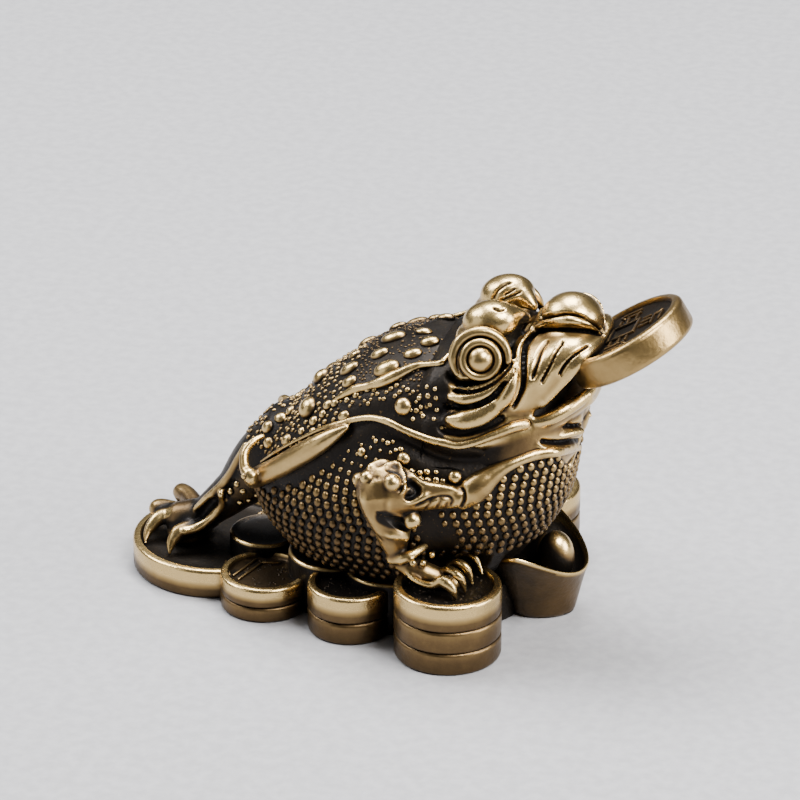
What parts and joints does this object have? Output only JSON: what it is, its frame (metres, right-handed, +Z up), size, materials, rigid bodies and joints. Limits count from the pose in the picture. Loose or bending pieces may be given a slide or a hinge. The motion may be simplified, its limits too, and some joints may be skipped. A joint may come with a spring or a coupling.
{
  "type": "money toad figure",
  "caption": "Cast brass money toad seated on a bed of coins, with a coin in its mouth and a boat-shaped ingot at its front.",
  "frame": {"origin": "on the flat underside of the coin bed, below the belly", "axes": "+X towards the toad's nose, +Y towards its left side, +Z up"},
  "size_m": [0.049, 0.0288, 0.0297],
  "materials": {
    "antique_brass": "satin golden brass on the high places, with near-black patina in every recess"
  },
  "bodies": {
    "root": {"money_toad": "antique_brass"}
  },
  "joints": []
}
